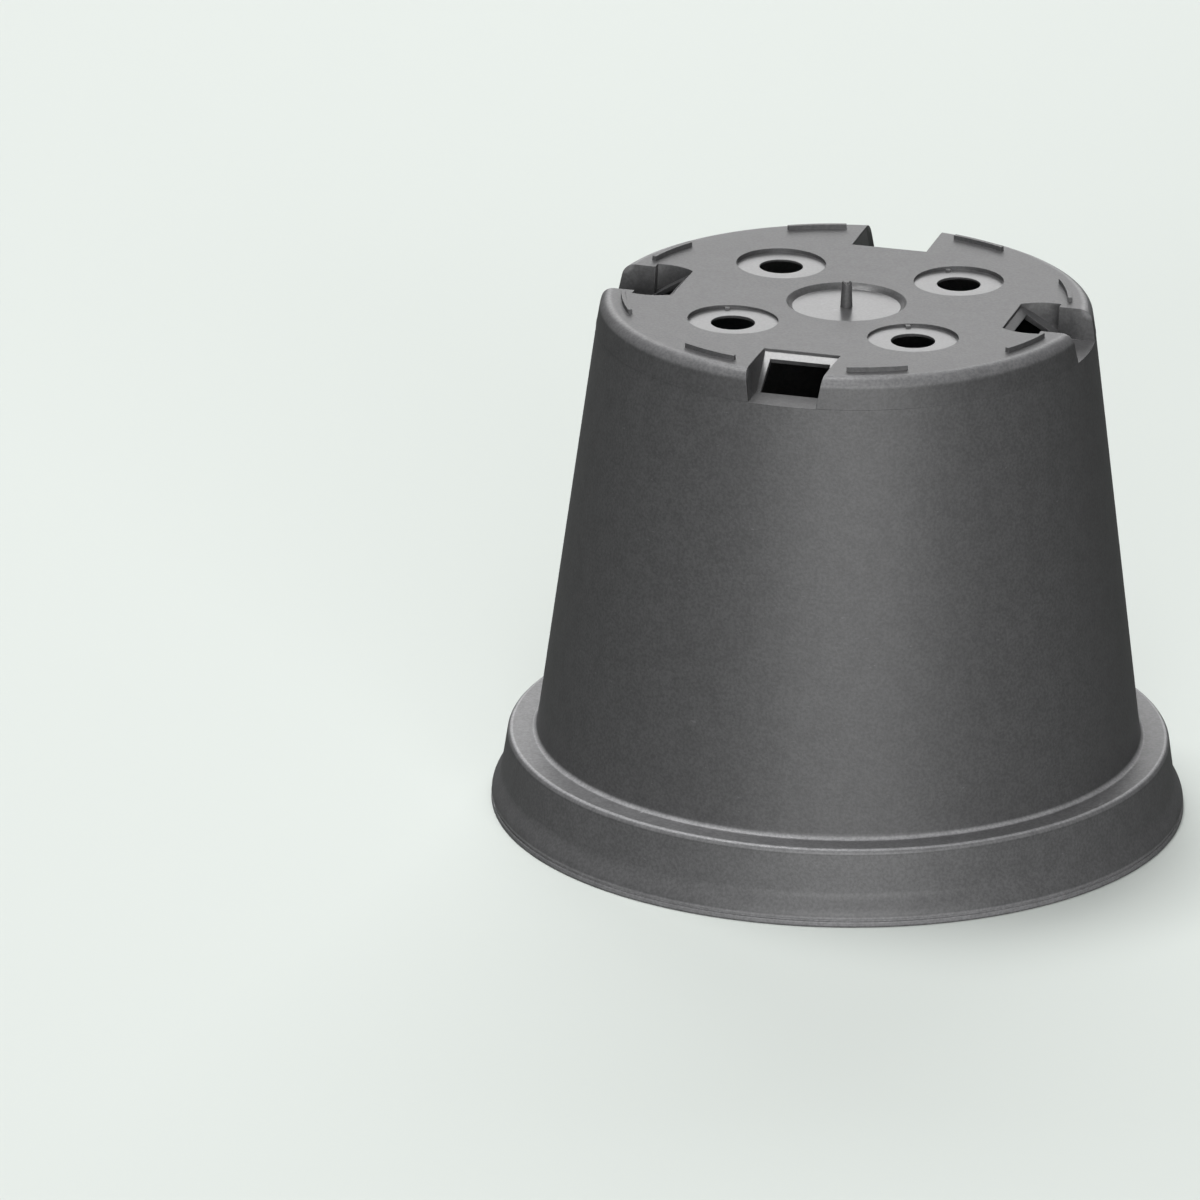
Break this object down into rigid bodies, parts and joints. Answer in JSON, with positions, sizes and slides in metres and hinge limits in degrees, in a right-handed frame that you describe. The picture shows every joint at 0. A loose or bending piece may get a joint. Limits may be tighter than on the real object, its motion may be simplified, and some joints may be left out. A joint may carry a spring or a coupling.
{
  "type": "round plant pot",
  "caption": "Round moulded nursery pot, upturned: tapered body, stepped collar with rolled lip, and a base with drain holes, corner notches and foot ribs.",
  "frame": {"origin": "middle of the mouth, in the plane that the upturned rim rests on", "axes": "+Z from the mouth to the base along the pot's axis; +X and +Y through two of the notches in the base"},
  "size_m": [0.19, 0.19, 0.1495],
  "materials": {
    "pot_plastic": "fine matte grain outside, smoother in the dishes round the drain holes and in the middle recess"
  },
  "bodies": {
    "root": {"pot": "pot_plastic"}
  },
  "joints": []
}
